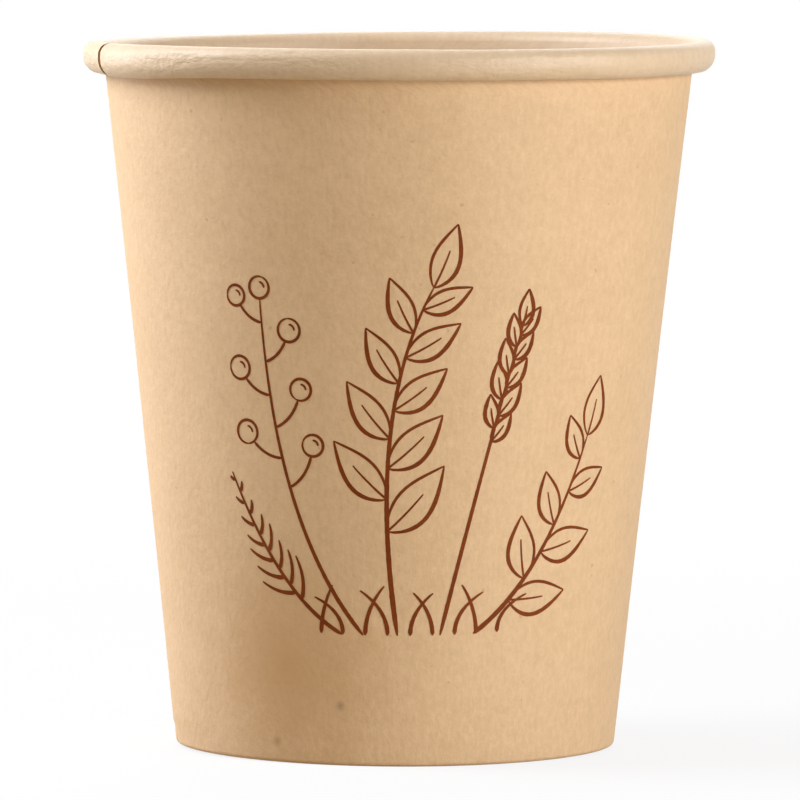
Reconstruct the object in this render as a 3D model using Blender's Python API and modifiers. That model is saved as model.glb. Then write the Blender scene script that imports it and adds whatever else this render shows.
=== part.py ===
"""A paper cup, made of its two paperboard pieces and the film that lines each of them.

The side wall is a flat blank rolled into a cone. Its two ends lap in one seam, its top edge is
rolled outwards into the rim, and its bottom edge is folded up inside the foot as a hem. The bottom
is a disc whose edge is turned down into a skirt, and the skirt stands in the fold between the wall
and the hem. The cup stands on the floor at z = 0, on the axis of the frame.
"""

import math

import bmesh
import bpy
from mathutils import Matrix

# Overall sizes, in metres
HEIGHT = 0.084
RIM_DIAMETER = 0.075
FOOT_DIAMETER = 0.0522

# Boards, films and the clearances between them
WALL_BOARD = 0.00035
BOTTOM_BOARD = 0.0003
FILM = 0.00005
BOND_GAP = 0.00005
FIT_GAP = 0.00015

# Rolled rim, measured on the face that shows
RIM_ROLL_HEIGHT = 0.0036
RIM_TOP_RADIUS = 0.0013
RIM_LAND = 0.0003
RIM_UNDER_RADIUS = 0.002
RIM_UNDER_TURN = math.radians(60)
RIM_TUCK_BEND = 0.00035
RIM_TUCK_LENGTH = 0.0008
RIM_WALL_GAP = 0.0003

# Folded heel and hem
HEEL_BEND = 0.0001
HEM_HEIGHT = 0.0048
HEM_BUTT_GAP = 0.0003

# Cupped bottom
BOTTOM_RECESS = 0.006
BOTTOM_BEND = 0.0004
SKIRT_CLEARANCE = 0.0003

# Side seam, with its flaps measured half way up the wall
SEAM_ANGLE = math.radians(188)
LAP_WIDTH = 0.0062
LAP_RAMP_WIDTH = 0.003
LAP_START_HEIGHT = 0.003

# Facets round the cup and along the bends
ROUND_FACETS = 46
LAP_FACETS = 2
RAMP_FACETS = 3
FACETS_PER_TURN = 14

# Colours of the materials, as linear light, and their roughness
KRAFT_COLOUR = (0.62, 0.43, 0.255, 1.0)
KRAFT_ROUGHNESS = 0.85
LINED_COLOUR = (0.66, 0.47, 0.29, 1.0)
LINED_ROUGHNESS = 0.4

# Sizes worked out from those above
RIM_RADIUS = RIM_DIAMETER / 2
FOOT_RADIUS = FOOT_DIAMETER / 2
WALL_LAMINATE = WALL_BOARD + BOND_GAP + FILM
BOTTOM_LAMINATE = FILM + BOND_GAP + BOTTOM_BOARD
LAP_STEP = WALL_LAMINATE + BOND_GAP
HEEL_RADIUS = WALL_LAMINATE + HEEL_BEND
FOLD_WIDTH = WALL_LAMINATE + FIT_GAP + BOTTOM_LAMINATE + FIT_GAP + WALL_LAMINATE
BOTTOM_TOP = BOTTOM_RECESS + BOTTOM_LAMINATE
BOTTOM_BEND_RADIUS = BOTTOM_LAMINATE + BOTTOM_BEND
QUARTER = math.radians(90)
SHARP_ANGLE = math.radians(50)
SHORTEST_RUN = 0.00001
MERGE_DISTANCE = 0.00001


class Section:
    """A path in the plane of radius and height, drawn as runs and bends, with its heading kept."""

    def __init__(self, radius, height, heading):
        self.points = [(radius, height, heading)]

    def run(self, length):
        """Go straight on, unless the length has shrunk to nothing."""
        radius, height, heading = self.points[-1]
        if length > SHORTEST_RUN:
            radius += length * math.cos(heading)
            height += length * math.sin(heading)
            self.points.append((radius, height, heading))

    def bend(self, turn, bend_radius):
        """Turn on an arc, to the left where the turn is positive."""
        radius, height, heading = self.points[-1]
        side = math.copysign(1, turn)
        centre_radius = radius - side * bend_radius * math.sin(heading)
        centre_height = height + side * bend_radius * math.cos(heading)
        steps = max(1, round(abs(turn) / math.tau * FACETS_PER_TURN))
        for step in range(1, steps + 1):
            now = heading + turn * step / steps
            self.points.append((
                centre_radius + side * bend_radius * math.sin(now),
                centre_height - side * bend_radius * math.cos(now),
                now,
            ))

    def last_row(self):
        return len(self.points) - 1


def to_the_right(point, distance):
    """A point of a section moved square to its path, to the right of the heading."""
    radius, height, heading = point
    return radius + distance * math.sin(heading), height - distance * math.cos(heading)


def wall_taper():
    """Lean of the wall: its outer face touches the heel's bend and the first bend of the rim."""
    across = (RIM_RADIUS - RIM_TOP_RADIUS - RIM_LAND) - (FOOT_RADIUS - HEEL_RADIUS)
    up = (HEIGHT - RIM_TOP_RADIUS) - HEEL_RADIUS
    reach = HEEL_RADIUS + RIM_TOP_RADIUS - WALL_LAMINATE
    return math.acos(reach / math.hypot(across, up)) - math.atan2(up, across)


TAPER = wall_taper()
WALL_HEADING = QUARTER - TAPER


def outward_distance(radius, height):
    """How far out a point lies, measured square to the wall."""
    return radius * math.cos(TAPER) - height * math.sin(TAPER)


def radius_at(distance, height):
    """Radius at a height on a line parallel to the wall."""
    return (distance + height * math.sin(TAPER)) / math.cos(TAPER)


WALL_LINE = outward_distance(FOOT_RADIUS - HEEL_RADIUS, HEEL_RADIUS) + HEEL_RADIUS


def rim_roll(section):
    """Roll the top edge outwards, down and in again, and tuck its end up beside the wall."""
    tuck_radius = WALL_LAMINATE + RIM_TUCK_BEND
    tuck_height = HEIGHT - RIM_ROLL_HEIGHT + tuck_radius
    tuck_centre = radius_at(WALL_LINE + RIM_WALL_GAP + tuck_radius, tuck_height)
    turn_in = math.cos(RIM_UNDER_TURN)
    turn_down = math.sin(RIM_UNDER_TURN)
    room_in = RIM_RADIUS - tuck_radius * turn_in - tuck_centre
    room_down = HEIGHT - RIM_TOP_RADIUS - tuck_height + tuck_radius * turn_down
    under_radius = min(RIM_UNDER_RADIUS, room_in / (1 - turn_in), room_down / turn_down)
    section.bend(-WALL_HEADING, RIM_TOP_RADIUS - WALL_LAMINATE)
    section.run(RIM_LAND)
    section.bend(-QUARTER, RIM_TOP_RADIUS - WALL_LAMINATE)
    section.run(room_down - under_radius * turn_down)
    section.bend(-RIM_UNDER_TURN, under_radius - WALL_LAMINATE)
    tuck_row = section.last_row()
    section.bend(RIM_UNDER_TURN - QUARTER, tuck_radius - WALL_LAMINATE)
    section.run(room_in - under_radius * (1 - turn_in))
    section.bend(-QUARTER - TAPER, tuck_radius - WALL_LAMINATE)
    section.run(RIM_TUCK_LENGTH)
    return tuck_row


def wall_section():
    """Outer face of the blank, from the hem's edge round the heel, up the wall and into the rim."""
    heel_centre = FOOT_RADIUS - HEEL_RADIUS - (FOLD_WIDTH - 2 * HEEL_RADIUS) / math.cos(TAPER)
    hem_line = outward_distance(heel_centre, HEEL_RADIUS) - HEEL_RADIUS
    section = Section(radius_at(hem_line, HEM_HEIGHT), HEM_HEIGHT, WALL_HEADING - math.pi)
    hem_foot = HEEL_RADIUS + HEEL_RADIUS * math.sin(TAPER)
    section.run((HEM_HEIGHT - hem_foot) / math.cos(TAPER))
    section.bend(QUARTER + TAPER, HEEL_RADIUS)
    section.run(FOOT_RADIUS - HEEL_RADIUS - heel_centre)
    section.bend(WALL_HEADING, HEEL_RADIUS)
    wall_foot = section.points[-1][1]
    section.run((LAP_START_HEIGHT - wall_foot) / math.cos(TAPER))
    lap_row = section.last_row()
    wall_top = HEIGHT - RIM_TOP_RADIUS + (RIM_TOP_RADIUS - WALL_LAMINATE) * math.sin(TAPER)
    section.run((wall_top - LAP_START_HEIGHT) / math.cos(TAPER))
    tuck_row = rim_roll(section)
    return section.points, lap_row, tuck_row


def bottom_section():
    """Lined face of the bottom, from its centre out to the bend and down the skirt."""
    skirt_line = WALL_LINE - WALL_LAMINATE - FIT_GAP
    bend_height = BOTTOM_TOP - BOTTOM_BEND_RADIUS
    bend_centre = radius_at(skirt_line - BOTTOM_BEND_RADIUS, bend_height)
    skirt_top = bend_height - BOTTOM_BEND_RADIUS * math.sin(TAPER)
    skirt_foot = WALL_LAMINATE + SKIRT_CLEARANCE
    section = Section(0, BOTTOM_TOP, 0)
    section.run(bend_centre)
    section.bend(-QUARTER - TAPER, BOTTOM_BEND_RADIUS)
    section.run((skirt_top - skirt_foot) / math.cos(TAPER))
    return section.points


def blank_columns():
    """Angle and outward step of each column of the blank, from the outer flap to the inner one."""
    middle_radius = radius_at(WALL_LINE, HEIGHT / 2)
    lap = LAP_WIDTH / middle_radius
    ramp = LAP_RAMP_WIDTH / middle_radius
    columns = [(SEAM_ANGLE, 1.0)]
    for facet in range(1, LAP_FACETS + 1):
        columns.append((SEAM_ANGLE + lap * facet / LAP_FACETS, 1.0))
    for facet in range(1, RAMP_FACETS + 1):
        share = facet / RAMP_FACETS
        step = (1 + math.cos(math.pi * share)) / 2
        columns.append((SEAM_ANGLE + lap + ramp * share, step))
    round_start = SEAM_ANGLE + lap + ramp
    round_angle = math.tau - lap - ramp
    for facet in range(1, ROUND_FACETS + 1):
        columns.append((round_start + round_angle * facet / ROUND_FACETS, 0.0))
    for facet in range(1, LAP_FACETS + 1):
        columns.append((SEAM_ANGLE + math.tau + lap * facet / LAP_FACETS, 0.0))
    return columns


def is_cut_away(face, lap_row, tuck_row):
    """Whether a face of the flat blank lies in a corner that is cut off beside the seam."""
    column, row, _ = face.calc_center_median()
    ramp_end = LAP_FACETS + RAMP_FACETS
    inner_flap = ramp_end + ROUND_FACETS
    if row < lap_row:
        return column > inner_flap
    if row > tuck_row:
        return column < ramp_end or column > inner_flap - 1
    return False


def rolled_sheet(depth):
    """Make the flat blank as a grid, cut its corners and roll it up, a depth behind its outer face."""
    points, lap_row, tuck_row = wall_section()
    columns = blank_columns()
    last_column = len(columns) - 1
    last_row = len(points) - 1
    blank = bmesh.new()
    spread = Matrix.Diagonal((last_column / 2, last_row / 2, 1, 1)) @ Matrix.Translation((1, 1, 0))
    bmesh.ops.create_grid(blank, x_segments=last_column, y_segments=last_row, size=1, matrix=spread)
    corners = [face for face in blank.faces if is_cut_away(face, lap_row, tuck_row)]
    bmesh.ops.delete(blank, geom=corners, context='FACES')
    for vertex in blank.verts:
        column = round(vertex.co.x)
        row = round(vertex.co.y)
        angle, step = columns[column]
        outward = LAP_STEP * step
        if row < lap_row:
            outward = 0
            angle += HEM_BUTT_GAP / FOOT_RADIUS if column == 0 else 0
        radius, height = to_the_right(points[row], outward - depth)
        vertex.co = (radius * math.cos(angle), radius * math.sin(angle), height)
    mesh = bpy.data.meshes.new("rolled_blank")
    blank.to_mesh(mesh)
    blank.free()
    mesh.shade_smooth()
    mesh.set_sharp_from_angle(angle=SHARP_ANGLE)
    return mesh


def bottom_profile(depth):
    """Half section of the bottom as a chain of edges, a depth below its lined face."""
    profile = bmesh.new()
    previous = None
    for point in bottom_section():
        radius, height = to_the_right(point, depth)
        vertex = profile.verts.new((radius, 0, height))
        if previous:
            profile.edges.new((previous, vertex))
        previous = vertex
    mesh = bpy.data.meshes.new("bottom_profile")
    profile.to_mesh(mesh)
    profile.free()
    return mesh


def plain_material(name, colour, roughness):
    material = bpy.data.materials.new(name)
    material.use_nodes = True
    shader = material.node_tree.nodes["Principled BSDF"]
    shader.inputs["Base Color"].default_value = colour
    shader.inputs["Roughness"].default_value = roughness
    shader.inputs["Metallic"].default_value = 0.0
    return material


def add_piece(name, mesh, material, collection, parent):
    """Put a mesh into the scene as a named piece of the cup."""
    mesh.name = name
    mesh.materials.append(material)
    piece = bpy.data.objects.new(name, mesh)
    piece.parent = parent
    collection.objects.link(piece)
    return piece


def turn_round(piece):
    """Sweep a half section once round the axis."""
    screw = piece.modifiers.new("turned", 'SCREW')
    screw.axis = 'Z'
    screw.angle = math.tau
    screw.steps = ROUND_FACETS
    screw.render_steps = ROUND_FACETS
    screw.use_merge_vertices = True
    screw.merge_threshold = MERGE_DISTANCE
    screw.use_smooth_shade = True


def thicken(piece, thickness):
    """Give a sheet its thickness, behind the face that it was drawn on."""
    solidify = piece.modifiers.new("thickness", 'SOLIDIFY')
    solidify.thickness = thickness
    solidify.offset = -1
    solidify.use_even_offset = True


def clear_scene():
    for existing in list(bpy.data.objects):
        bpy.data.objects.remove(existing, do_unlink=True)


def main():
    clear_scene()
    collection = bpy.data.collections.new("paper_cup")
    bpy.context.scene.collection.children.link(collection)
    foot_centre = bpy.data.objects.new("foot_centre", None)
    collection.objects.link(foot_centre)

    wall_kraft = plain_material("wall_kraft", KRAFT_COLOUR, KRAFT_ROUGHNESS)
    wall = add_piece("side_wall", rolled_sheet(0), wall_kraft, collection, foot_centre)
    thicken(wall, WALL_BOARD)

    wall_film = plain_material("wall_film", LINED_COLOUR, LINED_ROUGHNESS)
    lining_sheet = rolled_sheet(WALL_BOARD + BOND_GAP)
    wall_lining = add_piece("wall_lining", lining_sheet, wall_film, collection, foot_centre)
    thicken(wall_lining, FILM)

    bottom_kraft = plain_material("bottom_kraft", KRAFT_COLOUR, KRAFT_ROUGHNESS)
    disc_profile = bottom_profile(FILM + BOND_GAP)
    bottom_disc = add_piece("bottom_disc", disc_profile, bottom_kraft, collection, foot_centre)
    turn_round(bottom_disc)
    thicken(bottom_disc, BOTTOM_BOARD)

    bottom_film = plain_material("bottom_film", LINED_COLOUR, LINED_ROUGHNESS)
    bottom_lining = add_piece("bottom_lining", bottom_profile(0), bottom_film, collection, foot_centre)
    turn_round(bottom_lining)
    thicken(bottom_lining, FILM)


main()
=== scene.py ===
"""Looks of a kraft paper cup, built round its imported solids.

Each layer of the cup is a fine mesh that stands for one solid: the board and the film of the wall,
which are rolled up from one fan-shaped blank, and the board and the film of the bottom. A line drawing
of wild plants is printed on the wall. Lengths are in metres, and the cup stands on z = 0.
"""

import math
import random
from collections import namedtuple

import bmesh
import bpy
from mathutils import Matrix, Vector, noise


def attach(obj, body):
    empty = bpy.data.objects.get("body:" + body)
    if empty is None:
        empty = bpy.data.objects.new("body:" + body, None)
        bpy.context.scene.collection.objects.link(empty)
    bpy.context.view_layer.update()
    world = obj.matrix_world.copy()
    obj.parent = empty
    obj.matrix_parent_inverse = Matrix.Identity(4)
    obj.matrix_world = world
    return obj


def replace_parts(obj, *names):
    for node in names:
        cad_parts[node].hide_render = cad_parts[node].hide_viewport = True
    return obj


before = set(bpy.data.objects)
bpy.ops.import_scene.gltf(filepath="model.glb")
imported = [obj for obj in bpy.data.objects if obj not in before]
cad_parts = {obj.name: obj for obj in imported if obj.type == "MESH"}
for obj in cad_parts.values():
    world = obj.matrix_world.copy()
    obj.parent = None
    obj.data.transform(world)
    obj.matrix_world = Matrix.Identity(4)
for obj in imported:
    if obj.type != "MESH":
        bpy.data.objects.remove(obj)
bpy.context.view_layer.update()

# Sizes of the cup, as in its solids
HEIGHT = 0.084
RIM_RADIUS = 0.0375
FOOT_RADIUS = 0.0261
WALL_BOARD = 0.00035
BOTTOM_BOARD = 0.0003
FILM = 0.00005
BOND_GAP = 0.00005
FIT_GAP = 0.00015
RIM_ROLL_HEIGHT = 0.0036
RIM_TOP_RADIUS = 0.0013
RIM_LAND = 0.0003
RIM_UNDER_RADIUS = 0.002
RIM_UNDER_TURN = math.radians(60)
RIM_TUCK_BEND = 0.00035
RIM_TUCK_LENGTH = 0.0008
RIM_WALL_GAP = 0.0003
HEEL_BEND = 0.0001
HEM_HEIGHT = 0.0048
HEM_BUTT_GAP = 0.0003
BOTTOM_RECESS = 0.006
BOTTOM_BEND = 0.0004
SKIRT_CLEARANCE = 0.0003
SEAM_ANGLE = math.radians(188)
LAP_WIDTH = 0.0062
LAP_START_HEIGHT = 0.003

# Finer forms, which only the looks have
LAP_RISE = 0.0015
LAP_RAMP_WIDTH = 0.012
LAP_SUNK_SHARE = 0.5
CREVICE_FLAT = 0.0003
CREVICE_RISE = 0.0004
CREVICE_FADE = 0.0032
BOTTOM_DISH = 0.00025
KNURL_COUNT = 60
KNURL_DEPTH = 0.00004
KNURL_MARGIN = 0.001

# Unevenness of a real cup
RIM_TILT = 0.0085
RIM_WARP = 0.0081
RIM_PITCH = 0.0022
RIM_SAG = 0.0004
RIM_SAG_ANGLE = math.radians(210)
RIM_SAG_WIDTH = math.radians(16)
OUT_OF_ROUND = 0.0001
LONG_AXIS_ANGLE = math.radians(45)
WAIST = 0.00012
FOOT_ARCH = 0.00035
FOOT_ARCH_FADE = 4
UNEVEN_DEPTH = 0.00003
UNEVEN_SIZE = 0.014
UNEVEN_START = 0.004

# Fineness of the meshes
ROUND_COLUMNS = 240
LAP_COLUMNS = 6
RAMP_COLUMNS = 16
ROW_SPACING = 0.0012
BEND_STEP = math.radians(11)
LEAST_BEND_STEPS = 2
SHARP_ANGLE = math.radians(40)
MERGE_DISTANCE = 0.0000005
SHEET_MAP = "flat_sheet"

# Place of the printed drawing, and its ink
FRONT_ANGLE = math.radians(270)
PRINT_HEIGHT = 0.0155
PRINT_ASIDE = 0.0012
INK_GAP = 0.000008
INK_DEPTH = 0.000008
INK_LAYER = 0.0000002

# The pen: its widths, and the shares of a stroke over which it is pressed and lifted
STEM_PEN = 0.0006
BOLD_PEN = 0.0005
FINE_PEN = 0.00036
VEIN_PEN = 0.00028
PEN_TIP = 0.00016
PEN_WOBBLE = 0.1
PEN_SEED = 5
PEN_STEP = 0.0004
LEAST_CURVE_STEPS = 4
LEAST_LEAF_STEPS = 8
EXTRA_BERRY_STEPS = 8
SHINE_STEPS = 8
QUICK_LEAD = 0.05
SOFT_LEAD = 0.3
LONG_LEAD = 0.9
HAND_VARIES = 0.08

# Habit of each kind of plant, with spans as shares of its stem
LEAF_SPAN = (0.25, 0.92)
LEAF_LEAN = math.radians(50)
LEAF_BOW = 0.12
LEAF_FULLEST = 0.8
LEAF_SHRINK = 0.4
VEIN_SHARE = 0.66
TIP_LEAF_SHARE = 0.75
BERRY_SPAN = (0.52, 0.94)
STALK_LEAN = math.radians(52)
STALK_BOW = math.radians(26)
BERRY_SHINE = 0.5
BERRY_SHRINK = 0.35
FROND_SPAN = (0.34, 0.96)
FROND_LEAN = math.radians(58)
FROND_BOW = math.radians(22)
FROND_TAPER = 1.1
GRAIN_SPAN = (0.6, 0.97)
GRAIN_LEAN = math.radians(30)
GRAIN_BREADTH = 0.42
GRASS_LEAN = math.radians(28)
GRASS_FAN = math.radians(30)

# Plants of the drawing, each stem with its foot, its bend and its tip across and up
TALL_STEM = ((-0.001, 0), (-0.005, 0.026), (0.003, 0.041))
TALL_LEAVES = {"leaves": 9, "length": 0.0105, "breadth": 0.0044}
LOW_STEM = ((0.008, 0), (0.017, 0.006), (0.024, 0.022))
LOW_LEAVES = {"leaves": 6, "length": 0.0095, "breadth": 0.0046}
BERRY_STEM = ((-0.005, 0), (-0.016, 0.013), (-0.018, 0.039))
BERRIES = {"berries": 6, "length": 0.0056, "radius": 0.0013}
EAR_STEM = ((0.004, 0), (0.009, 0.02), (0.014, 0.036))
EAR = {"grains": 9, "length": 0.0044}
FERN_STEM = ((-0.0075, 0), (-0.015, 0.004), (-0.022, 0.018))
FERN = {"blades": 14, "length": 0.0066}
GRASS_FOOT = ((-0.01, 0), (0.011, 0))
GRASS = {"blades": 9, "height": 0.0058}

# Colours of the materials, from the dark to the light end of their tone
KRAFT_RAMP = {0.2: (0.67, 0.45, 0.252), 0.5: (0.74, 0.51, 0.298), 0.8: (0.81, 0.57, 0.344)}
FILM_RAMP = {0.2: (0.645, 0.465, 0.295), 0.5: (0.715, 0.535, 0.355), 0.8: (0.785, 0.605, 0.415)}
EDGE_RAMP = {0.3: (0.5, 0.33, 0.18), 0.7: (0.76, 0.58, 0.4)}
INK_RAMP = {0.3: (0.155, 0.028, 0.003), 0.75: (0.26, 0.06, 0.01)}
KRAFT_SPECK = (0.42, 0.24, 0.11)
# The next colour is a darker, warmer tone for a broad patch of painted shade low on the front's left
KRAFT_PAINTED_SHADE = (0.6, 0.35, 0.155)
KRAFT_GREY = (0.3, 0.22, 0.14)
KRAFT_RUST = (0.42, 0.2, 0.08)
WHITE = (1.0, 1.0, 1.0)

# Noises of the materials: how large their marks are, and how fine, rough and stretched
PLAIN_DETAIL = 1.0
SOME_DETAIL = 2.0
FINE_DETAIL = 3.0
EVEN = 0.5
ROUGH = 0.6
FUZZY = 0.7
FIBRE_STRETCH = (1.0, 0.2, 1.0)
MOTTLE_STRETCH = (1.0, 0.7, 1.0)
CREASE_STRETCH = (0.55, 1.0, 1.0)
KRAFT_NOISES = {
    "fibres": {"size": 0.0005, "detail": FINE_DETAIL, "roughness": ROUGH, "stretch": FIBRE_STRETCH},
    "grain": {"size": 0.0003},
    "mottle": {"size": 0.0007, "stretch": MOTTLE_STRETCH},
    "blotches": {"size": 0.0024},
    "clouds": {"size": 0.012},
    "specks": {"size": 0.0011, "detail": PLAIN_DETAIL},
}
FILM_NOISES = {
    "fibres": {"size": 0.0006, "detail": FINE_DETAIL, "stretch": FIBRE_STRETCH},
    "blotches": {"size": 0.002, "detail": FINE_DETAIL},
    "pits": {"size": 0.00045, "roughness": ROUGH},
}
RIM_NOISES = {
    "patches": {"size": 0.02, "detail": PLAIN_DETAIL},
    "creases": {"size": 0.0006, "detail": FINE_DETAIL, "roughness": ROUGH, "stretch": CREASE_STRETCH},
}
EDGE_NOISES = {
    "fuzz": {"size": 0.00012, "detail": FINE_DETAIL, "roughness": FUZZY},
    "layers": {"size": 0.0005},
}
INK_NOISES = {
    "grain": {"size": 0.00025, "detail": FINE_DETAIL, "roughness": ROUGH},
    "wash": {"size": 0.004},
}

# What each noise adds to the tone and to the relief of its material
KRAFT_TONE = {"fibres": 0.35, "grain": 0.4, "mottle": 0.6, "blotches": 0.45, "clouds": 0.3}
KRAFT_RELIEF = {"mottle": 0.6, "blotches": 0.4}
KRAFT_TOOTH = {"grain": 0.6, "fibres": 0.4}
FILM_TONE = {"fibres": 0.35, "blotches": 0.4, "pits": 0.4}
FILM_RELIEF = {"blotches": 0.6, "pits": 0.4}
EDGE_TONE = {"fuzz": 0.6, "layers": 0.4}
INK_TONE = {"grain": 0.7, "wash": 0.5}
KRAFT_RELIEF_DEPTH = 0.00009
KRAFT_TOOTH_DEPTH = 0.00002
FILM_RELIEF_DEPTH = 0.00006
CREASE_DEPTH = 0.00024
EDGE_FUZZ_DEPTH = 0.00003
INK_GRAIN_DEPTH = 0.00001

# Gloss of the materials
KRAFT_ROUGHNESS = (0.58, 0.72)
KRAFT_SPECULAR = 0.45
FILM_ROUGHNESS = (0.4, 0.54)
FILM_SPECULAR = 0.6
EDGE_ROUGHNESS = (0.75, 0.95)
EDGE_SPECULAR = 0.5
INK_ROUGHNESS = (0.55, 0.75)
INK_SPECULAR = 0.12

# Specks of the board, its soft marks (two small flecks and a broad patch of painted shade), with angles in
# degrees, and where the rim is creased
SPECK_LEVELS = (0.74, 0.8)
SPECK_SHARE = 0.4
MARK_RAGGED = 0.9
MARK_GRAIN = 0.3
FLECKS_AND_PAINTED_SHADE = (
    # The first mark is painted shade: a broad, darker and warmer patch low on the left of the front. The
    # two after it are real flecks.
    {"angle": 242, "height": 0.0118, "reach": 0.015, "colour": KRAFT_PAINTED_SHADE, "share": 0.85},
    {"angle": 256.2, "height": 0.0071, "reach": 0.0008, "colour": KRAFT_GREY, "share": 0.7},
    {"angle": 238.5, "height": 0.0025, "reach": 0.0009, "colour": KRAFT_RUST, "share": 0.6},
)
PATCH_LEVELS = (0.4, 0.6)
PATCH_STRENGTH = (0.3, 1.0)
CREASE_FADE = 0.001

# Sockets of the node that mixes two colours
MIX_FACTOR = 0
MIX_FIRST = 6
MIX_SECOND = 7
MIX_COLOUR = 2

# Stage, and lamps with their angles in degrees
FLOOR_REACH = 20.0
FLOOR_COLOUR = (0.86, 0.86, 0.855)
FLOOR_BOUNCE = (0.42, 0.335, 0.215)
FLOOR_GLOW_NEAR = 0.86
GLOW_START = 0.03
GLOW_END = 0.3
AMBIENT_COLOUR = (1.0, 0.97, 0.93)
AMBIENT_STRENGTH = 0.04
DAYLIGHT = (0.97, 1.0, 1.05)
WARM_LIGHT = (1.0, 0.65, 0.25)
AIM_HEIGHT = 0.045
LAMP_DISTANCE = 0.6
LAMPS = (
    ("top", WHITE, {"azimuth": -160, "elevation": 75, "width": 0.3, "height": 0.3, "strength": 0.14}),
    ("side", DAYLIGHT, {
        "azimuth": -87, "elevation": 41, "width": 0.17, "height": 0.2, "strength": 0.96, "distance": 0.33,
    }),
    ("edge", DAYLIGHT, {"azimuth": -115, "elevation": 6, "width": 0.3, "height": 0.3, "strength": 0.52}),
    ("front", WHITE, {"azimuth": 53, "elevation": 10, "width": 0.5, "height": 0.3, "strength": 0.94}),
    ("fill", WARM_LIGHT, {"azimuth": -10, "elevation": 6, "width": 0.4, "height": 0.3, "strength": 0.05}),
    ("back", WHITE, {"azimuth": 172, "elevation": 30, "width": 0.4, "height": 0.3, "strength": 0.26}),
)

# Camera, with its turns in radians, and its lens and sensor in millimetres
CAMERA_ASIDE = 0.00034
CAMERA_DISTANCE = 1.171
CAMERA_HEIGHT = 0.11613
CAMERA_PITCH = 0.06389
CAMERA_ROLL = 0.00638
CAMERA_LENS = 443.86
CAMERA_SENSOR = 36.0

# Sizes worked out from those above
QUARTER = math.radians(90)
WALL_LAMINATE = WALL_BOARD + BOND_GAP + FILM
BOTTOM_LAMINATE = FILM + BOND_GAP + BOTTOM_BOARD
LAP_STEP = WALL_LAMINATE + BOND_GAP
HEEL_RADIUS = WALL_LAMINATE + HEEL_BEND
FOLD_WIDTH = WALL_LAMINATE + FIT_GAP + BOTTOM_LAMINATE + FIT_GAP + WALL_LAMINATE
BOTTOM_TOP = BOTTOM_RECESS + BOTTOM_LAMINATE
BOTTOM_BEND_RADIUS = BOTTOM_LAMINATE + BOTTOM_BEND
RIM_FOOT_HEIGHT = HEIGHT - RIM_ROLL_HEIGHT
RAMP_END = LAP_COLUMNS + RAMP_COLUMNS
ROUND_END = RAMP_END + ROUND_COLUMNS
LAST_COLUMN = ROUND_END + LAP_COLUMNS


def smooth_step(value, start, end):
    """Nought up to the start, one from the end on, and an even curve between them."""
    share = min(1.0, max(0.0, (value - start) / (end - start)))
    return share * share * (3 - 2 * share)


# Sections of the wall and the bottom

Spot = namedtuple("Spot", "radius height heading")


class Section:
    """A path in the plane of radius and height, drawn as runs and bends, with its heading kept."""

    def __init__(self, radius, height, heading):
        self.points = [Spot(radius, height, heading)]

    def run(self, length):
        """Go straight on, in rows of about the set spacing."""
        radius, height, heading = self.points[-1]
        steps = max(1, round(length / ROW_SPACING))
        for step in range(1, steps + 1):
            gone = length * step / steps
            self.points.append(Spot(
                radius + gone * math.cos(heading),
                height + gone * math.sin(heading),
                heading,
            ))

    def bend(self, turn, bend_radius):
        """Turn on an arc, to the left where the turn is positive."""
        radius, height, heading = self.points[-1]
        side = math.copysign(1, turn)
        centre_radius = radius - side * bend_radius * math.sin(heading)
        centre_height = height + side * bend_radius * math.cos(heading)
        steps = max(LEAST_BEND_STEPS, round(abs(turn) / BEND_STEP))
        for step in range(1, steps + 1):
            now = heading + turn * step / steps
            self.points.append(Spot(
                centre_radius + side * bend_radius * math.sin(now),
                centre_height - side * bend_radius * math.cos(now),
                now,
            ))

    def last_row(self):
        """Number of the row at the end of the path."""
        return len(self.points) - 1

    def lengths(self):
        """Distance along the path to each of its points."""
        gone = [0.0]
        for before, after in zip(self.points, self.points[1:]):
            step = math.hypot(after.radius - before.radius, after.height - before.height)
            gone.append(gone[-1] + step)
        return gone


def to_the_right(point, distance):
    """A point of a section moved square to its path, to the right of the heading."""
    radius, height, heading = point
    return radius + distance * math.sin(heading), height - distance * math.cos(heading)


def wall_taper():
    """Lean of the wall: its outer face touches the heel's bend and the first bend of the rim."""
    across = (RIM_RADIUS - RIM_TOP_RADIUS - RIM_LAND) - (FOOT_RADIUS - HEEL_RADIUS)
    up = (HEIGHT - RIM_TOP_RADIUS) - HEEL_RADIUS
    reach = HEEL_RADIUS + RIM_TOP_RADIUS - WALL_LAMINATE
    return math.acos(reach / math.hypot(across, up)) - math.atan2(up, across)


TAPER = wall_taper()
WALL_HEADING = QUARTER - TAPER


def outward_distance(radius, height):
    """How far out a point lies, measured square to the wall."""
    return radius * math.cos(TAPER) - height * math.sin(TAPER)


def radius_at(distance, height):
    """Radius at a height on a line parallel to the wall."""
    return (distance + height * math.sin(TAPER)) / math.cos(TAPER)


WALL_LINE = outward_distance(FOOT_RADIUS - HEEL_RADIUS, HEEL_RADIUS) + HEEL_RADIUS
MIDDLE_RADIUS = radius_at(WALL_LINE, HEIGHT / 2)
LAP_ANGLE = LAP_WIDTH / MIDDLE_RADIUS
PRINT_SLANT = radius_at(WALL_LINE, PRINT_HEIGHT) / math.sin(TAPER)


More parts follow.
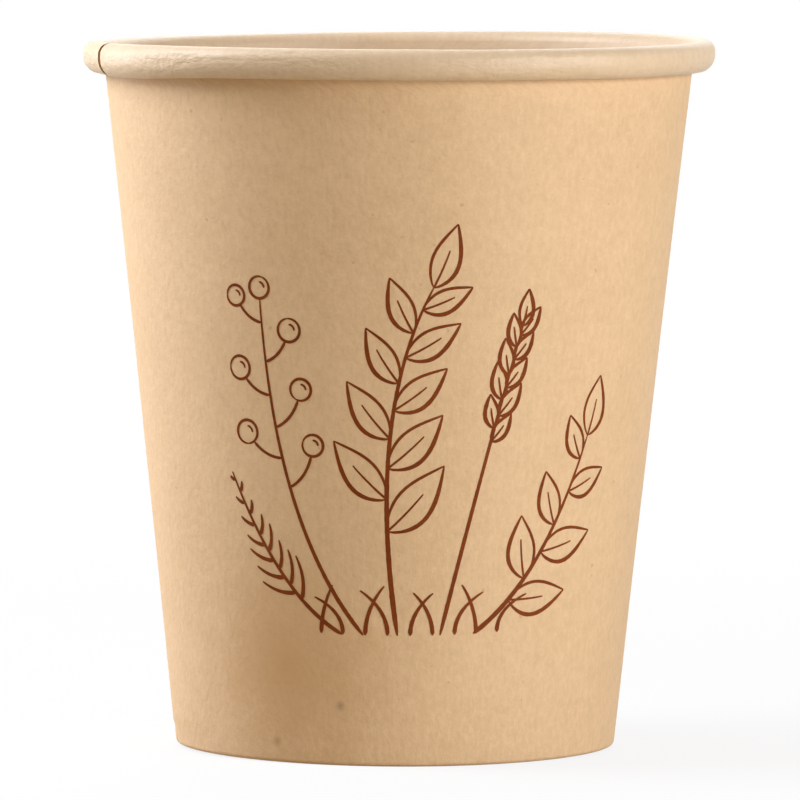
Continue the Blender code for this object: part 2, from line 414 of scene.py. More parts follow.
def rim_roll(section):
    """Roll the top edge outwards, down and in again, and tuck its end up beside the wall."""
    tuck_radius = WALL_LAMINATE + RIM_TUCK_BEND
    tuck_height = RIM_FOOT_HEIGHT + tuck_radius
    tuck_centre = radius_at(WALL_LINE + RIM_WALL_GAP + tuck_radius, tuck_height)
    turn_in = math.cos(RIM_UNDER_TURN)
    turn_down = math.sin(RIM_UNDER_TURN)
    room_in = RIM_RADIUS - tuck_radius * turn_in - tuck_centre
    room_down = HEIGHT - RIM_TOP_RADIUS - tuck_height + tuck_radius * turn_down
    under_radius = min(RIM_UNDER_RADIUS, room_in / (1 - turn_in), room_down / turn_down)
    section.bend(-WALL_HEADING, RIM_TOP_RADIUS - WALL_LAMINATE)
    section.run(RIM_LAND)
    section.bend(-QUARTER, RIM_TOP_RADIUS - WALL_LAMINATE)
    section.run(room_down - under_radius * turn_down)
    section.bend(-RIM_UNDER_TURN, under_radius - WALL_LAMINATE)
    tuck_row = section.last_row()
    section.bend(RIM_UNDER_TURN - QUARTER, tuck_radius - WALL_LAMINATE)
    section.run(room_in - under_radius * (1 - turn_in))
    section.bend(-QUARTER - TAPER, tuck_radius - WALL_LAMINATE)
    section.run(RIM_TUCK_LENGTH)
    return tuck_row


def wall_section():
    """Outer face of the blank, from the hem's edge round the heel, up the wall and into the rim."""
    heel_centre = FOOT_RADIUS - HEEL_RADIUS - (FOLD_WIDTH - 2 * HEEL_RADIUS) / math.cos(TAPER)
    hem_line = outward_distance(heel_centre, HEEL_RADIUS) - HEEL_RADIUS
    section = Section(radius_at(hem_line, HEM_HEIGHT), HEM_HEIGHT, WALL_HEADING - math.pi)
    hem_foot = HEEL_RADIUS + HEEL_RADIUS * math.sin(TAPER)
    section.run((HEM_HEIGHT - hem_foot) / math.cos(TAPER))
    heel_row = section.last_row()
    section.bend(QUARTER + TAPER, HEEL_RADIUS)
    section.run(FOOT_RADIUS - HEEL_RADIUS - heel_centre)
    section.bend(WALL_HEADING, HEEL_RADIUS)
    wall_foot = section.points[-1].height
    section.run((LAP_START_HEIGHT - wall_foot) / math.cos(TAPER))
    lap_row = section.last_row()
    wall_top = HEIGHT - RIM_TOP_RADIUS + (RIM_TOP_RADIUS - WALL_LAMINATE) * math.sin(TAPER)
    section.run((wall_top - LAP_START_HEIGHT) / math.cos(TAPER))
    rim_row = section.last_row()
    tuck_row = rim_roll(section)
    return section, heel_row, lap_row, rim_row, tuck_row


def bottom_section():
    """Lined face of the bottom, from its centre out to the bend and down the skirt."""
    skirt_line = WALL_LINE - WALL_LAMINATE - FIT_GAP
    bend_height = BOTTOM_TOP - BOTTOM_BEND_RADIUS
    bend_centre = radius_at(skirt_line - BOTTOM_BEND_RADIUS, bend_height)
    skirt_top = bend_height - BOTTOM_BEND_RADIUS * math.sin(TAPER)
    skirt_foot = WALL_LAMINATE + SKIRT_CLEARANCE
    section = Section(0, BOTTOM_TOP, 0)
    section.run(bend_centre)
    section.bend(-QUARTER - TAPER, BOTTOM_BEND_RADIUS)
    section.run((skirt_top - skirt_foot) / math.cos(TAPER))
    return section


WALL, HEEL_ROW, LAP_ROW, RIM_ROW, TUCK_ROW = wall_section()
WALL_LENGTHS = WALL.lengths()
CREST_ROW = max(range(WALL.last_row()), key=lambda row: WALL.points[row].height)


# Form of a real cup

def unevenness(angle, height):
    """How far the wall stands out from a true cone."""
    round_cup = MIDDLE_RADIUS / UNEVEN_SIZE
    place = (round_cup * math.cos(angle), round_cup * math.sin(angle), height / UNEVEN_SIZE)
    return UNEVEN_DEPTH * noise.noise(place) * smooth_step(height, 0, UNEVEN_START)


def natural_form(angle, radius, height):
    """A point of the cup, with a slight waist, and a rim and a foot that aren't quite level and flat."""
    rise = height / HEIGHT
    reach = radius + OUT_OF_ROUND * rise * math.cos(2 * (angle - LONG_AXIS_ANGLE))
    reach -= WAIST * math.sin(math.pi * rise)
    across = reach * math.cos(angle)
    deep = reach * math.sin(angle)
    lift = (across * (RIM_TILT + RIM_WARP * deep / RIM_RADIUS) + deep * RIM_PITCH) * rise ** 2
    arch = FOOT_ARCH * (across / FOOT_RADIUS) ** 2 * max(0.0, 1 - rise) ** FOOT_ARCH_FADE
    return Vector((across, deep, height + lift + arch))


# The rolled blank

def column_place(column, row):
    """Angle and outward step of a column of the blank, from the outer flap to the inner one.

    The outer flap falls back to the round wall in a broad ramp, which narrows to a crevice on the rim.
    Below the rim the lap is pressed in as well, so a share of the step goes to the inner flap.
    """
    on_rim = smooth_step(WALL_LENGTHS[row], WALL_LENGTHS[RIM_ROW] - CREVICE_FADE, WALL_LENGTHS[RIM_ROW])
    flat = CREVICE_FLAT * on_rim / MIDDLE_RADIUS
    ramp = (LAP_RAMP_WIDTH + (CREVICE_RISE - LAP_RAMP_WIDTH) * on_rim) / MIDDLE_RADIUS
    sunk = LAP_SUNK_SHARE * (1 - on_rim)
    ramp_start = SEAM_ANGLE + LAP_ANGLE + flat
    ramp_end = ramp_start + ramp
    seam_end = SEAM_ANGLE + math.tau
    if column <= LAP_COLUMNS:
        return SEAM_ANGLE + LAP_ANGLE * column / LAP_COLUMNS, 1 - sunk
    if column <= RAMP_END:
        share = (column - LAP_COLUMNS) / RAMP_COLUMNS
        return ramp_start + ramp * share, (1 - sunk) * (1 - smooth_step(share, 0, 1))
    if column <= ROUND_END:
        angle = ramp_end + (seam_end - ramp_end) * (column - RAMP_END) / ROUND_COLUMNS
        return angle, -sunk * smooth_step(angle, seam_end - LAP_RAMP_WIDTH / MIDDLE_RADIUS, seam_end)
    return seam_end + LAP_ANGLE * (column - ROUND_END) / LAP_COLUMNS, -sunk


def knurl(row, angle, height):
    """Depth of the press marks that run up the hem."""
    if row >= HEEL_ROW:
        return 0.0
    fade_up = smooth_step(height, HEEL_RADIUS, HEEL_RADIUS + KNURL_MARGIN)
    fade_down = 1 - smooth_step(height, HEM_HEIGHT - KNURL_MARGIN, HEM_HEIGHT)
    return -KNURL_DEPTH * fade_up * fade_down * (1 + math.cos(KNURL_COUNT * angle)) / 2


def rim_sag(row, angle, height):
    """How far the rim hangs down beside the crevice, which grows from its crest to its lower edge."""
    if row <= CREST_ROW:
        return 0.0
    beside = 2 * math.sin((angle - RIM_SAG_ANGLE) / 2) / RIM_SAG_WIDTH
    return RIM_SAG * math.exp(-beside ** 2) * (HEIGHT - height) / RIM_ROLL_HEIGHT


def wall_point(column, row, depth):
    """Where a point of the blank lies in the cup, a depth behind the blank's outer face."""
    point = WALL.points[row]
    height = point.height
    angle, step = column_place(column, row)
    lap = smooth_step(height, LAP_START_HEIGHT - LAP_RISE, LAP_START_HEIGHT) if row > HEEL_ROW else 0.0
    if column == 0:
        angle += HEM_BUTT_GAP / FOOT_RADIUS * (1 - lap)
    outward = LAP_STEP * step * lap + unevenness(angle, height) + knurl(row, angle, height)
    radius, height = to_the_right(point, outward - depth)
    return natural_form(angle, radius, height - rim_sag(row, angle, height))


def is_cut_away(face):
    """Whether a face of the flat blank lies in a corner that is cut off beside the seam."""
    column, row, _ = face.calc_center_median()
    if row < LAP_ROW:
        return column > ROUND_END
    if row > TUCK_ROW:
        return column < RAMP_END or column > ROUND_END - 1
    return False


def flat_place(column, row):
    """Where a point of the blank lay before the blank was rolled up."""
    angle, _ = column_place(column, 0)
    return angle * MIDDLE_RADIUS, WALL_LENGTHS[row]


def finished_mesh(name, made):
    """Turn a finished bmesh into a smooth mesh with sharp cut edges."""
    bmesh.ops.recalc_face_normals(made, faces=made.faces[:])
    mesh = bpy.data.meshes.new(name)
    made.to_mesh(mesh)
    made.free()
    mesh.shade_smooth()
    mesh.set_sharp_from_angle(angle=SHARP_ANGLE)
    return mesh


def rolled_layer(name, front, back):
    """One closed layer of the wall between two depths. Its cut edges take the second material."""
    last_row = WALL.last_row()
    blank = bmesh.new()
    spread = Matrix.Diagonal((LAST_COLUMN / 2, last_row / 2, 1, 1)) @ Matrix.Translation((1, 1, 0))
    bmesh.ops.create_grid(blank, x_segments=LAST_COLUMN, y_segments=last_row, size=1, matrix=spread)
    corners = [face for face in blank.faces if is_cut_away(face)]
    bmesh.ops.delete(blank, geom=corners, context='FACES')
    doubled = bmesh.ops.extrude_face_region(blank, geom=blank.faces[:], use_keep_orig=True)
    for vertex in doubled["geom"]:
        if isinstance(vertex, bmesh.types.BMVert):
            vertex.co.z = 1
    flat_map = blank.loops.layers.uv.new(SHEET_MAP)
    for face in blank.faces:
        sides = {round(vertex.co.z) for vertex in face.verts}
        face.material_index = len(sides) - 1
        for loop in face.loops:
            loop[flat_map].uv = flat_place(round(loop.vert.co.x), round(loop.vert.co.y))
    for vertex in blank.verts:
        column, row, side = (round(value) for value in vertex.co)
        vertex.co = wall_point(column, row, back if side else front)
    return finished_mesh(name, blank)


# The bottom

def dished(point, depth):
    """A point of the bottom's section, with the middle of the disc a little lower."""
    radius, height = to_the_right(point, depth)
    return radius, height - BOTTOM_DISH * (1 - (radius / FOOT_RADIUS) ** 2)


def turned_layer(name, front, back):
    """One closed layer of the bottom between two depths below its lined face."""
    path = bottom_section().points
    outline = [dished(point, front) for point in path]
    outline += [dished(point, back) for point in reversed(path)]
    turned = bmesh.new()
    chain = [turned.verts.new((radius, 0, height)) for radius, height in outline]
    edges = [turned.edges.new(pair) for pair in zip(chain, chain[1:])]
    bmesh.ops.spin(
        turned, geom=chain + edges, cent=(0, 0, 0), axis=(0, 0, 1),
        angle=math.tau, steps=ROUND_COLUMNS, use_merge=True,
    )
    bmesh.ops.remove_doubles(turned, verts=turned.verts[:], dist=MERGE_DISTANCE)
    for vertex in turned.verts:
        angle = math.atan2(vertex.co.y, vertex.co.x)
        vertex.co = natural_form(angle, math.hypot(vertex.co.x, vertex.co.y), vertex.co.z)
    return finished_mesh(name, turned)


# The printed drawing

def printed_point(aside, up, lift):
    """Where a point of the flat print lies on the rolled wall."""
    slant = PRINT_SLANT + up
    angle = FRONT_ANGLE + math.atan2(aside + PRINT_ASIDE, slant) / math.sin(TAPER)
    radius = math.hypot(slant, aside + PRINT_ASIDE) * math.sin(TAPER)
    height = (radius * math.cos(TAPER) - WALL_LINE) / math.sin(TAPER)
    outward = lift + unevenness(angle, height)
    return natural_form(angle, radius + outward * math.cos(TAPER), height - outward * math.sin(TAPER))


def pen_curve(start, bend, end):
    """Points along a curve that leaves its start towards the bend and comes to its end from there."""
    steps = max(LEAST_CURVE_STEPS, round(((bend - start).length + (end - bend).length) / PEN_STEP))
    curve = []
    for step in range(steps + 1):
        share = step / steps
        curve.append(start * (1 - share) ** 2 + bend * 2 * share * (1 - share) + end * share ** 2)
    return curve


def plant_stem(spots):
    """The curve of a stem from its foot by its bend to its tip."""
    return pen_curve(*(Vector(spot) for spot in spots))


def direction(angle):
    """A step of length one at an angle on the flat print."""
    return Vector((math.cos(angle), math.sin(angle)))


def heading_at(path, place):
    """Angle at which a path runs past one of its points."""
    along = path[min(place + 1, len(path) - 1)] - path[max(place - 1, 0)]
    return math.atan2(along.y, along.x)


def spots_along(stem, span, count):
    """Places on both sides of a stem in turn, with the stem's heading there and the share of its length."""
    start, end = span
    last = len(stem) - 1
    for spot in range(count):
        share = start + (end - start) * spot / (count - 1)
        place = round(last * share)
        yield stem[place], heading_at(stem, place), (1 if spot % 2 else -1), share


class Drawing:
    """Pen strokes on the flat blank, each of them a thin closed ribbon on the wall."""

    def __init__(self):
        self.ink = bmesh.new()
        self.chance = random.Random(PEN_SEED)
        self.strokes = 0

    def varied(self, size):
        """A size as a hand draws it, a little different each time."""
        return size * (1 + HAND_VARIES * self.chance.uniform(-1, 1))

    def stroke(self, path, width, lead_in=SOFT_LEAD, lead_out=SOFT_LEAD):
        """Draw along a path with a pen that is pressed and lifted over those shares of it."""
        lift = INK_GAP + self.strokes * INK_LAYER
        self.strokes += 1
        last = len(path) - 1
        rings = []
        for place, point in enumerate(path):
            share = place / last
            press = min(1.0, share / lead_in, (1 - share) / lead_out)
            wobble = 1 + PEN_WOBBLE * self.chance.uniform(-1, 1)
            half = (PEN_TIP + (width - PEN_TIP) * math.sqrt(press) * wobble) / 2
            side = direction(heading_at(path, place) + QUARTER) * half
            corners = ((point - side, lift), (point + side, lift))
            corners += ((point + side, lift + INK_DEPTH), (point - side, lift + INK_DEPTH))
            rings.append([self.ink.verts.new(printed_point(*spot, rise)) for spot, rise in corners])
        self.ink.faces.new(rings[0])
        self.ink.faces.new(rings[-1])
        for before, after in zip(rings, rings[1:]):
            for corner in range(len(before)):
                around = (corner + 1) % len(before)
                self.ink.faces.new((before[corner], before[around], after[around], after[corner]))

    def leaf(self, base, angle, length, breadth, bow):
        """An oval leaf of a bold and a fine edge, with a vein part of the way up it."""
        along = direction(angle)
        across = direction(angle + QUARTER)
        steps = max(LEAST_LEAF_STEPS, round(length / PEN_STEP))
        bold, fine, vein = [], [], []
        for step in range(steps + 1):
            share = step / steps
            middle = base + along * length * share + across * bow * length * share ** 2
            half = across * breadth / 2 * math.sin(math.pi * share ** LEAF_FULLEST)
            bold.append(middle - half * math.copysign(1, bow))
            fine.append(middle + half * math.copysign(1, bow))
            vein.append(middle)
        self.stroke(bold, BOLD_PEN)
        self.stroke(fine, FINE_PEN)
        self.stroke(vein[: round(steps * VEIN_SHARE)], VEIN_PEN, QUICK_LEAD, LONG_LEAD)

    def berry(self, centre, radius):
        """A round berry, drawn in one turn of the pen, with a short shine."""
        start = self.chance.uniform(0, math.tau)
        steps = round(math.tau * radius / PEN_STEP) + EXTRA_BERRY_STEPS
        turn = [start + math.tau * step / steps for step in range(steps + 1)]
        self.stroke([centre + direction(angle) * radius for angle in turn], FINE_PEN)
        shine = [QUARTER * step / SHINE_STEPS for step in range(SHINE_STEPS + 1)]
        self.stroke([centre + direction(angle) * radius * BERRY_SHINE for angle in shine], VEIN_PEN)

    def leafy_stem(self, stem, leaves, length, breadth):
        """A stem with leaves on both sides in turn, shorter towards its tip, and one leaf at the tip."""
        self.stroke(stem, STEM_PEN, QUICK_LEAD, LONG_LEAD)
        for base, angle, side, share in spots_along(stem, LEAF_SPAN, leaves):
            size = self.varied(1 - LEAF_SHRINK * share)
            self.leaf(base, angle + side * LEAF_LEAN, length * size, breadth * size, -side * LEAF_BOW)
        last = len(stem) - 1
        tip_length = length * TIP_LEAF_SHARE
        self.leaf(stem[last], heading_at(stem, last), tip_length, breadth * TIP_LEAF_SHARE, LEAF_BOW)

    def berry_stem(self, stem, berries, length, radius):
        """A thin stem with berries on short stalks towards its end."""
        self.stroke(stem, BOLD_PEN, QUICK_LEAD, LONG_LEAD)
        for base, angle, side, share in spots_along(stem, BERRY_SPAN, berries):
            reach = self.varied(length * (1 - BERRY_SHRINK * share))
            size = self.varied(radius)
            out = angle + side * STALK_LEAN
            tip = base + direction(out) * reach
            bend = base + direction(out + side * STALK_BOW) * reach / 2
            self.stroke(pen_curve(base, bend, tip), FINE_PEN, QUICK_LEAD, QUICK_LEAD)
            self.berry(tip + direction(out - side * STALK_BOW) * size, size)
        last = len(stem) - 1
        self.berry(stem[last] + direction(heading_at(stem, last)) * radius, radius)

    def frond(self, stem, blades, length):
        """A fern: a stem with many slim blades that grow shorter towards its tip."""
        self.stroke(stem, BOLD_PEN, QUICK_LEAD, LONG_LEAD)
        for base, angle, side, share in spots_along(stem, FROND_SPAN, blades):
            reach = self.varied(length * (FROND_TAPER - share))
            out = angle + side * FROND_LEAN
            tip = base + direction(out - side * FROND_BOW) * reach
            bend = base + direction(out) * reach / 2
            self.stroke(pen_curve(base, bend, tip), BOLD_PEN, QUICK_LEAD, LONG_LEAD)

    def grain_stem(self, stem, grains, length):
        """A stalk with an ear of plump grains on both sides in turn, and one at its tip."""
        self.stroke(stem, BOLD_PEN, QUICK_LEAD, LONG_LEAD)
        for base, angle, side, share in spots_along(stem, GRAIN_SPAN, grains):
            reach = self.varied(length)
            out = angle + side * GRAIN_LEAN
            self.leaf(base, out, reach, reach * GRAIN_BREADTH, -side * LEAF_BOW)
        last = len(stem) - 1
        self.leaf(stem[last], heading_at(stem, last), length, length * GRAIN_BREADTH, LEAF_BOW)

    def grass(self, first, last, blades, height):
        """Blades of grass along the ground, which lean to both sides in turn."""
        for blade in range(blades):
            share = blade / (blades - 1)
            foot = first.lerp(last, share)
            rise = self.varied(height)
            lean = GRASS_LEAN if blade % 2 else -GRASS_LEAN
            tip = foot + direction(QUARTER + lean - GRASS_FAN * (share - 0.5)) * rise
            bend = foot + Vector((0, rise / 2))
            self.stroke(pen_curve(foot, bend, tip), BOLD_PEN, QUICK_LEAD, LONG_LEAD)


def meadow_drawing():
    """Wild plants that stand side by side on the front: a fern, berries, leaves, an ear and grass."""
    drawing = Drawing()
    drawing.leafy_stem(plant_stem(TALL_STEM), **TALL_LEAVES)
    drawing.leafy_stem(plant_stem(LOW_STEM), **LOW_LEAVES)
    drawing.berry_stem(plant_stem(BERRY_STEM), **BERRIES)
    drawing.grain_stem(plant_stem(EAR_STEM), **EAR)
    drawing.frond(plant_stem(FERN_STEM), **FERN)
    drawing.grass(*(Vector(spot) for spot in GRASS_FOOT), **GRASS)
    return finished_mesh("printed_sprigs", drawing.ink)


# Materials

def opaque(colour):
    """A colour that covers fully."""
    return (*colour, 1.0)


class Nodes:
    """The nodes of a material or of the world, added and joined by plain calls."""

    def __init__(self, tree):
        self.tree = tree
        tree.nodes.clear()

    def add(self, kind, values=None, **settings):
        """Add a node. A value that is another node's output is linked, and any other is set."""
        node = self.tree.nodes.new(kind)
        for name, value in settings.items():
            setattr(node, name, value)
        for name, value in (values or {}).items():
            if isinstance(value, bpy.types.NodeSocket):
                self.tree.links.new(value, node.inputs[name])
            else:
                node.inputs[name].default_value = value
        return node

    def sheet_place(self):
        """Place on the flat sheet, in metres."""
        return self.add("ShaderNodeUVMap", uv_map=SHEET_MAP).outputs["UV"]

    def solid_place(self):
        """Place in the cup, in metres."""
        return self.add("ShaderNodeTexCoord").outputs["Object"]

    def noise(self, place, size, detail=SOME_DETAIL, roughness=EVEN, stretch=None):
        """Noise from nought to one, with marks of about that size."""
        if stretch:
            place = self.add("ShaderNodeMapping", {"Vector": place, "Scale": stretch}).outputs["Vector"]
        values = {"Vector": place, "Scale": 1 / size, "Detail": detail, "Roughness": roughness}
        return self.add("ShaderNodeTexNoise", values).outputs[0]

    def noises(self, place, kinds):
        """The noises of a material, by their names."""
        return {name: self.noise(place, **kind) for name, kind in kinds.items()}

    def calculated(self, operation, *numbers):
        """One step of arithmetic."""
        return self.add("ShaderNodeMath", dict(enumerate(numbers)), operation=operation).outputs[0]

    def blended(self, noises, weights):
        """Noises added up about a half, each with its weight."""
        total = (1 - sum(weights.values())) / 2
        for name, weight in weights.items():
            total = self.calculated('MULTIPLY_ADD', noises[name], weight, total)
        return total

    def between(self, value, low, high, from_low=0.0, from_high=1.0):
        """A value brought from one range into another, and held inside it."""
        values = {"Value": value, "From Min": from_low, "From Max": from_high}
        values |= {"To Min": low, "To Max": high}
        return self.add("ShaderNodeMapRange", values).outputs[0]

    def ramp(self, value, stops):
        """Colours along a scale, each at its place on it."""
        node = self.add("ShaderNodeValToRGB", {"Fac": value})
        elements = node.color_ramp.elements
        while len(elements) < len(stops):
            elements.new(1.0)
        for element, (place, colour) in zip(elements, stops.items()):
            element.position = place
            element.color = opaque(colour)
        return node.outputs["Color"]

    def mixed(self, share, first, second):
        """One colour laid over another by a share that differs from place to place."""
        values = {MIX_FACTOR: share, MIX_FIRST: first, MIX_SECOND: second}
        return self.add("ShaderNodeMix", values, data_type='RGBA').outputs[MIX_COLOUR]

    def bump(self, height, distance, under=None):
        """Relief of that depth, on top of another one where there is one."""
        values = {"Height": height, "Distance": distance, "Strength": 1.0}
        if under:
            values["Normal"] = under
        return self.add("ShaderNodeBump", values).outputs["Normal"]

    def mixed_shader(self, share, first, second):
        """One shader laid over another by a share."""
        values = {0: share, 1: first.outputs[0], 2: second.outputs[0]}
        return self.add("ShaderNodeMixShader", values)

    def surface(self, colour, roughness, specular, normal):
        """Finish a material as one plain surface."""
        shader = self.add("ShaderNodeBsdfPrincipled", {
            "Base Color": colour,
            "Roughness": roughness,
            "Specular IOR Level": specular,
            "Normal": normal,
        })
        self.finish(shader)

    def finish(self, shader, kind="ShaderNodeOutputMaterial"):
        """Send a shader to the output."""
        self.add(kind, {"Surface": shader.outputs[0]})


def new_material(name):
    """A new material, with no nodes in it yet."""
    material = bpy.data.materials.new(name)
    material.use_nodes = True
    return material, Nodes(material.node_tree)


def with_fleck_or_shade(nodes, place, board, angle, height, reach, colour, share):
    """A soft, ragged mark laid over the wall's board: a small fleck, or a broad patch of painted shade."""
    up = WALL_LENGTHS[LAP_ROW] + (height - LAP_START_HEIGHT) / math.cos(TAPER)
    centre = (math.radians(angle) * MIDDLE_RADIUS, up, 0)
    away = nodes.add("ShaderNodeVectorMath", {0: place, 1: centre}, operation='DISTANCE').outputs["Value"]
    ragged = nodes.noise(place, reach * MARK_GRAIN)
    edge = nodes.between(ragged, reach * (1 - MARK_RAGGED / 2), reach * (1 + MARK_RAGGED / 2))
    inside = nodes.calculated('DIVIDE', away, edge)
    return nodes.mixed(nodes.between(inside, share, 0.0), board, opaque(colour))


def kraft_shader(nodes, place, flecks_and_shade=()):
    """Uncoated kraft board: blotches, short fibres along the sheet, a few specks, and a soft matt sheen."""
    noises = nodes.noises(place, KRAFT_NOISES)
    kraft = nodes.ramp(nodes.blended(noises, KRAFT_TONE), KRAFT_RAMP)
    specks = nodes.between(noises["specks"], 0.0, SPECK_SHARE, *SPECK_LEVELS)
    board = nodes.mixed(specks, kraft, opaque(KRAFT_SPECK))
    # Lay on small flecks and patches of painted shade
    for fleck_or_shade in flecks_and_shade:
        board = with_fleck_or_shade(nodes, place, board, **fleck_or_shade)
    relief = nodes.bump(nodes.blended(noises, KRAFT_RELIEF), KRAFT_RELIEF_DEPTH)
    tooth = nodes.bump(nodes.blended(noises, KRAFT_TOOTH), KRAFT_TOOTH_DEPTH, relief)
    nodes.surface(board, nodes.between(noises["blotches"], *KRAFT_ROUGHNESS), KRAFT_SPECULAR, tooth)


def film_shader(nodes, place, creases=None):
    """Board under a thin satin film: paler, smoother, finely pitted, and creased where it is rolled."""
    noises = nodes.noises(place, FILM_NOISES)
    colour = nodes.ramp(nodes.blended(noises, FILM_TONE), FILM_RAMP)
    relief = nodes.bump(nodes.blended(noises, FILM_RELIEF), FILM_RELIEF_DEPTH)
    if creases:
        relief = nodes.bump(creases, CREASE_DEPTH, relief)
    nodes.surface(colour, nodes.between(noises["pits"], *FILM_ROUGHNESS), FILM_SPECULAR, relief)


def rim_creases(nodes, place):
    """Short creases across the rolled rim, which fade out on the wall."""
    noises = nodes.noises(place, RIM_NOISES)
    along = nodes.add("ShaderNodeSeparateXYZ", {0: place}).outputs["Y"]
    rolled = nodes.between(along, 0.0, 1.0, WALL_LENGTHS[RIM_ROW], WALL_LENGTHS[RIM_ROW] + CREASE_FADE)
    patches = nodes.between(noises["patches"], *PATCH_STRENGTH, *PATCH_LEVELS)
    return nodes.calculated('MULTIPLY', noises["creases"], nodes.calculated('MULTIPLY', rolled, patches))


def kraft_wall():
    """Board of the wall, with two small flecks and a broad patch of painted shade low on the front's left.
    """
    material, nodes = new_material("kraft_wall")
    kraft_shader(nodes, nodes.sheet_place(), FLECKS_AND_PAINTED_SHADE)
    return material


def kraft_bottom():
    """Board of the bottom."""
    material, nodes = new_material("kraft_bottom")
    kraft_shader(nodes, nodes.solid_place())
    return material


def satin_wall():
    """Film of the wall, creased on the rim."""
    material, nodes = new_material("satin_wall")
    place = nodes.sheet_place()
    film_shader(nodes, place, rim_creases(nodes, place))
    return material


def satin_bottom():
    """Film of the bottom."""
    material, nodes = new_material("satin_bottom")
    film_shader(nodes, nodes.solid_place())
    return material


def raw_edge():
    """Cut edge of the board: pale, fuzzy and layered."""
    material, nodes = new_material("raw_edge")
    noises = nodes.noises(nodes.solid_place(), EDGE_NOISES)
    colour = nodes.ramp(nodes.blended(noises, EDGE_TONE), EDGE_RAMP)
    fuzz = nodes.bump(noises["fuzz"], EDGE_FUZZ_DEPTH)
    nodes.surface(colour, nodes.between(noises["fuzz"], *EDGE_ROUGHNESS), EDGE_SPECULAR, fuzz)
    return material


def brown_ink():
    """Printing ink that lets a little of the board's grain show."""
    material, nodes = new_material("brown_ink")
    noises = nodes.noises(nodes.solid_place(), INK_NOISES)
    colour = nodes.ramp(nodes.blended(noises, INK_TONE), INK_RAMP)
    grain = nodes.bump(noises["grain"], INK_GRAIN_DEPTH)
    nodes.surface(colour, nodes.between(noises["grain"], *INK_ROUGHNESS), INK_SPECULAR, grain)
    return material


# The cup

def add_piece(name, mesh, slot, *materials):
    """Put a mesh into the scene as a piece of the cup, with its materials. Its slot is not used."""
    for material in materials:
        mesh.materials.append(material)
    piece = bpy.data.objects.new(name, mesh)
    bpy.context.scene.collection.objects.link(piece)
    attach(piece, "root")
    return piece


def build_cup():
    """Make each layer in place of its solid, and the print on the wall."""
    edge = raw_edge()
    wall_board = rolled_layer("wall_board", 0, WALL_BOARD)
    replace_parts(add_piece("wall_board", wall_board, "kraft_board", kraft_wall(), edge), "side_wall")
    wall_film = rolled_layer("wall_film", WALL_BOARD + BOND_GAP, WALL_LAMINATE)
    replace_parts(add_piece("wall_film", wall_film, "lined_face", satin_wall(), edge), "wall_lining")
    bottom_board = turned_layer("bottom_board", FILM + BOND_GAP, BOTTOM_LAMINATE)
    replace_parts(add_piece("bottom_board", bottom_board, "bottom_board", kraft_bottom()), "bottom_disc")
    bottom_film = turned_layer("bottom_film", 0, FILM)
    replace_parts(add_piece("bottom_film", bottom_film, "lined_bottom", satin_bottom()), "bottom_lining")
    add_piece("printed_sprigs", meadow_drawing(), "printed_ink", brown_ink())


# Stage, lights and camera

def seen_by_eye(nodes):
    """One for rays from the camera and for those that a gloss or a glass sends on."""
    rays = nodes.add("ShaderNodeLightPath").outputs
    bent = nodes.calculated('MAXIMUM', rays["Is Glossy Ray"], rays["Is Transmission Ray"])
    return nodes.calculated('MAXIMUM', rays["Is Camera Ray"], bent)


def white_world():
    """White where it is seen, and a dim even light otherwise."""
    world = bpy.data.worlds.new("studio")
    world.use_nodes = True
    bpy.context.scene.world = world
    nodes = Nodes(world.node_tree)
    dim = {"Color": opaque(AMBIENT_COLOUR), "Strength": AMBIENT_STRENGTH}
    ambient = nodes.add("ShaderNodeBackground", dim)
    white = nodes.add("ShaderNodeBackground", {"Color": opaque(WHITE), "Strength": 1.0})
    nodes.finish(nodes.mixed_shader(seen_by_eye(nodes), ambient, white), "ShaderNodeOutputWorld")


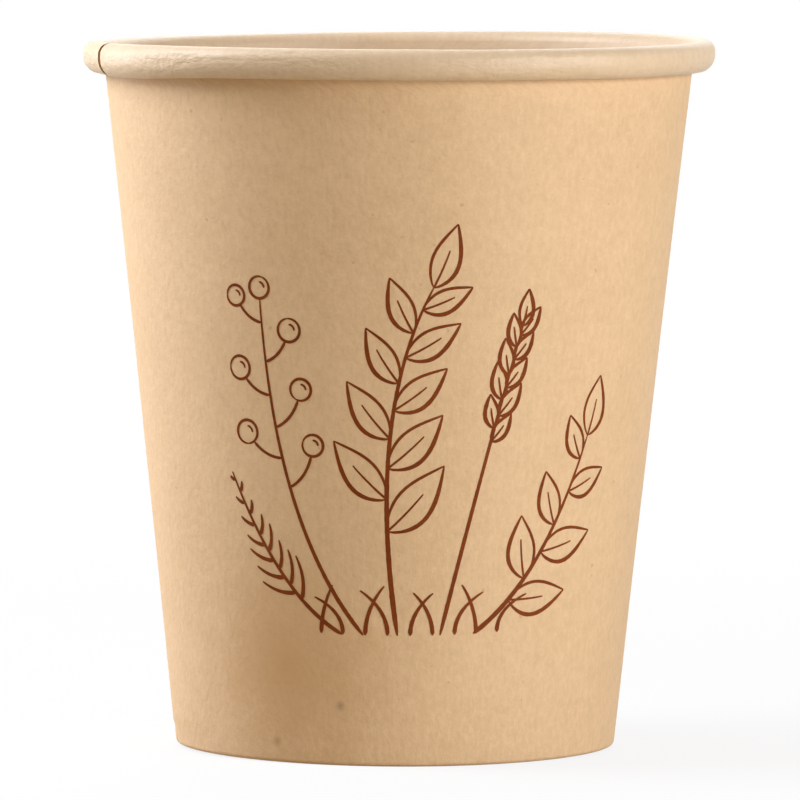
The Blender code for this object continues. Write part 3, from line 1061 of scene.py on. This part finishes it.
def floor_material():
    """Pale paint that keeps a soft shadow, runs into the white behind it and throws warm light back."""
    material, nodes = new_material("pale_floor")
    away = nodes.add("ShaderNodeVectorMath", {0: nodes.solid_place()}, operation='LENGTH').outputs["Value"]
    glow = nodes.between(away, FLOOR_GLOW_NEAR, 1.0, GLOW_START, GLOW_END)
    paint = nodes.add("ShaderNodeBsdfDiffuse", {"Color": opaque(FLOOR_COLOUR)})
    white = nodes.add("ShaderNodeEmission", {"Color": opaque(WHITE), "Strength": 1.0})
    seen = nodes.mixed_shader(glow, paint, white)
    bounce = nodes.add("ShaderNodeBsdfDiffuse", {"Color": opaque(FLOOR_BOUNCE)})
    nodes.finish(nodes.mixed_shader(seen_by_eye(nodes), bounce, seen))
    return material


def pale_floor():
    """A wide flat floor under the cup."""
    flat = bmesh.new()
    bmesh.ops.create_grid(flat, x_segments=1, y_segments=1, size=FLOOR_REACH)
    mesh = bpy.data.meshes.new("floor")
    flat.to_mesh(mesh)
    flat.free()
    mesh.materials.append(floor_material())
    floor = bpy.data.objects.new("floor", mesh)
    bpy.context.scene.collection.objects.link(floor)


def studio_lamp(name, colour, azimuth, elevation, width, height, strength, distance=LAMP_DISTANCE):
    """A soft light, aimed at the cup. Strength one lights a white face as white."""
    aside = math.radians(azimuth)
    up = math.radians(elevation)
    away = Vector((math.sin(aside) * math.cos(up), -math.cos(aside) * math.cos(up), math.sin(up)))
    light = bpy.data.lights.new(name, 'AREA')
    light.shape = 'RECTANGLE'
    light.size = width
    light.size_y = height
    light.energy = strength * (math.pi * distance) ** 2
    light.color = colour
    lamp = bpy.data.objects.new(name, light)
    lamp.location = Vector((0, 0, AIM_HEIGHT)) + away * distance
    lamp.rotation_euler = away.to_track_quat('Z', 'Y').to_euler()
    bpy.context.scene.collection.objects.link(lamp)


def photo_camera():
    """A long lens a little above the rim, rolled slightly."""
    view = bpy.data.cameras.new("camera")
    view.lens = CAMERA_LENS
    view.sensor_width = CAMERA_SENSOR
    camera = bpy.data.objects.new("camera", view)
    camera.location = (CAMERA_ASIDE, -CAMERA_DISTANCE, CAMERA_HEIGHT)
    upright = Matrix.Rotation(QUARTER - CAMERA_PITCH, 3, 'X')
    camera.rotation_euler = (upright @ Matrix.Rotation(CAMERA_ROLL, 3, 'Z')).to_euler()
    bpy.context.scene.collection.objects.link(camera)
    bpy.context.scene.camera = camera


build_cup()
white_world()
pale_floor()
for lamp_name, colour, settings in LAMPS:
    studio_lamp(lamp_name, colour, **settings)
photo_camera()
bpy.context.scene.view_settings.view_transform = 'Standard'
